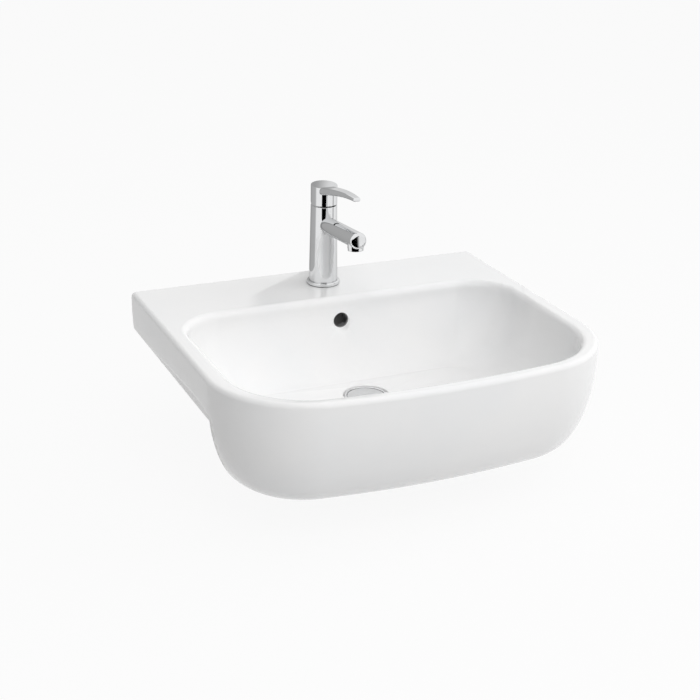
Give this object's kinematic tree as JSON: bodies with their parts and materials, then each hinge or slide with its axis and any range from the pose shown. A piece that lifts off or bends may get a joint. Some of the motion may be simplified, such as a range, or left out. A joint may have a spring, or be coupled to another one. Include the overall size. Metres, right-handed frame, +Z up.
{
  "type": "semi recessed basin",
  "caption": "White ceramic semi-recessed washbasin with a rounded front apron, rear tap deck, overflow, push-open waste and a chrome single-lever mixer tap.",
  "frame": {"origin": "middle of the basin's back edge, on the plane where the ceramic seat rests on the worktop", "axes": "+X to the right of the person at the basin, +Y towards the wall, +Z up"},
  "size_m": [0.56, 0.49, 0.3755],
  "materials": {
    "white_glaze": "smooth white glaze",
    "chrome": "polished chrome plate",
    "black_rubber": "matt black rubber",
    "black_plastic": "moulded black plastic",
    "white_plastic": "moulded white plastic",
    "grey_plastic": "glossy grey plastic",
    "stainless_steel": "plain stainless steel",
    "disc_ceramic": "ground alumina",
    "brass": "machined brass"
  },
  "bodies": {
    "basin": {"basin_body": "white_glaze", "waste_body": "chrome", "latch_housing": "black_plastic", "latch_spring": "stainless_steel", "flange_gasket": "black_rubber", "lower_gasket": "black_rubber", "slip_washer": "white_plastic", "waste_backnut": "brass", "tap_base_seal": "black_rubber", "tap_base_ring": "chrome", "tap_body": "chrome", "aerator_housing": "chrome", "aerator_insert": "white_plastic", "aerator_washer": "black_rubber", "cartridge_housing": "white_plastic", "port_seals": "black_rubber", "fixed_disc": "disc_ceramic", "cartridge_nut": "brass", "dress_ring": "chrome", "clamp_gasket": "black_rubber", "clamp_washer": "stainless_steel", "fixing_stud": "brass", "fixing_nut": "brass"},
    "swivel": {"cartridge_rotor": "white_plastic", "stem_pin": "stainless_steel"},
    "lever": {"handle": "chrome", "lever_stem": "brass", "grub_screw": "stainless_steel", "indicator_plug": "grey_plastic"},
    "disc": {"moving_disc": "disc_ceramic", "disc_carrier": "white_plastic"},
    "plug": {"waste_plug": "chrome", "plug_seal": "black_rubber", "latch_plunger": "black_plastic"}
  },
  "joints": [
    {"name": "handle_swivel", "type": "hinge", "parent": "basin", "child": "swivel", "pos_m": [0, -0.064, 0.169], "axis": [0, 0, 1], "range_deg": [-45, 45]},
    {"name": "handle_lift", "type": "hinge", "parent": "swivel", "child": "lever", "pos_m": [0, -0.064, 0.169], "axis": [-1, 0, 0], "range_deg": [0, 22]},
    {"name": "disc_slide", "type": "slide", "parent": "swivel", "child": "disc", "axis": [0, -1, 0], "range_m": [0, 0.0027]},
    {"name": "plug_lift", "type": "slide", "parent": "basin", "child": "plug", "axis": [0, 0, 1], "range_m": [0, 0.008], "deforming": ["latch_spring"]}
  ],
  "couplings": [
    {"joint": "disc_slide", "follows": "handle_lift", "m_per_rad": 0.007}
  ]
}
